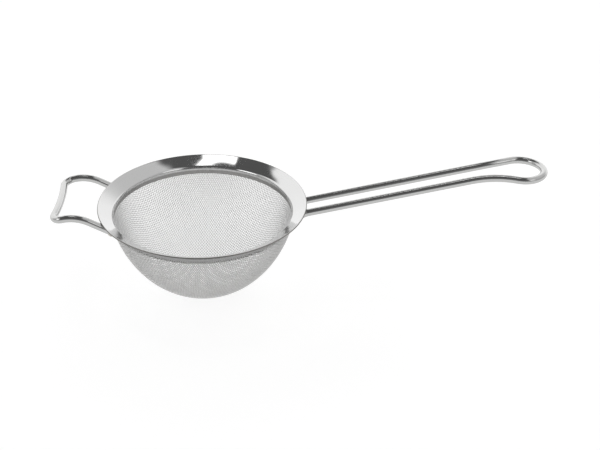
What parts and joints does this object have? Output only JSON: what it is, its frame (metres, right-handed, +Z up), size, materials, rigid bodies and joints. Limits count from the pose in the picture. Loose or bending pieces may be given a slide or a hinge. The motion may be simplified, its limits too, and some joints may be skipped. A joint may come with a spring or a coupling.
{
  "type": "tea strainer",
  "caption": "Stainless tea strainer: round woven-wire bowl in a flanged rim, long wire handle with a hanging loop, and a wire rest opposite that hooks over the edge of a cup.",
  "frame": {"origin": "centre of the rim, level with the top of its lip", "axes": "+X out along the handle, the rest points to -X; +Z up out of the bowl's mouth, the bowl hangs along -Z"},
  "size_m": [0.1871, 0.08, 0.0537],
  "materials": {
    "polished_steel": "polished stainless sheet",
    "wire_cloth": "fine woven stainless wire cloth",
    "drawn_wire": "bright drawn stainless wire",
    "weld_metal": "dull weld bead"
  },
  "bodies": {
    "root": {"rim_flange": "polished_steel", "retaining_ring": "polished_steel", "mesh_bowl": "wire_cloth", "handle_wire": "drawn_wire", "rest_wire": "drawn_wire", "handle_weld_near": "weld_metal", "handle_weld_far": "weld_metal", "rest_weld_near": "weld_metal", "rest_weld_far": "weld_metal"}
  },
  "joints": []
}
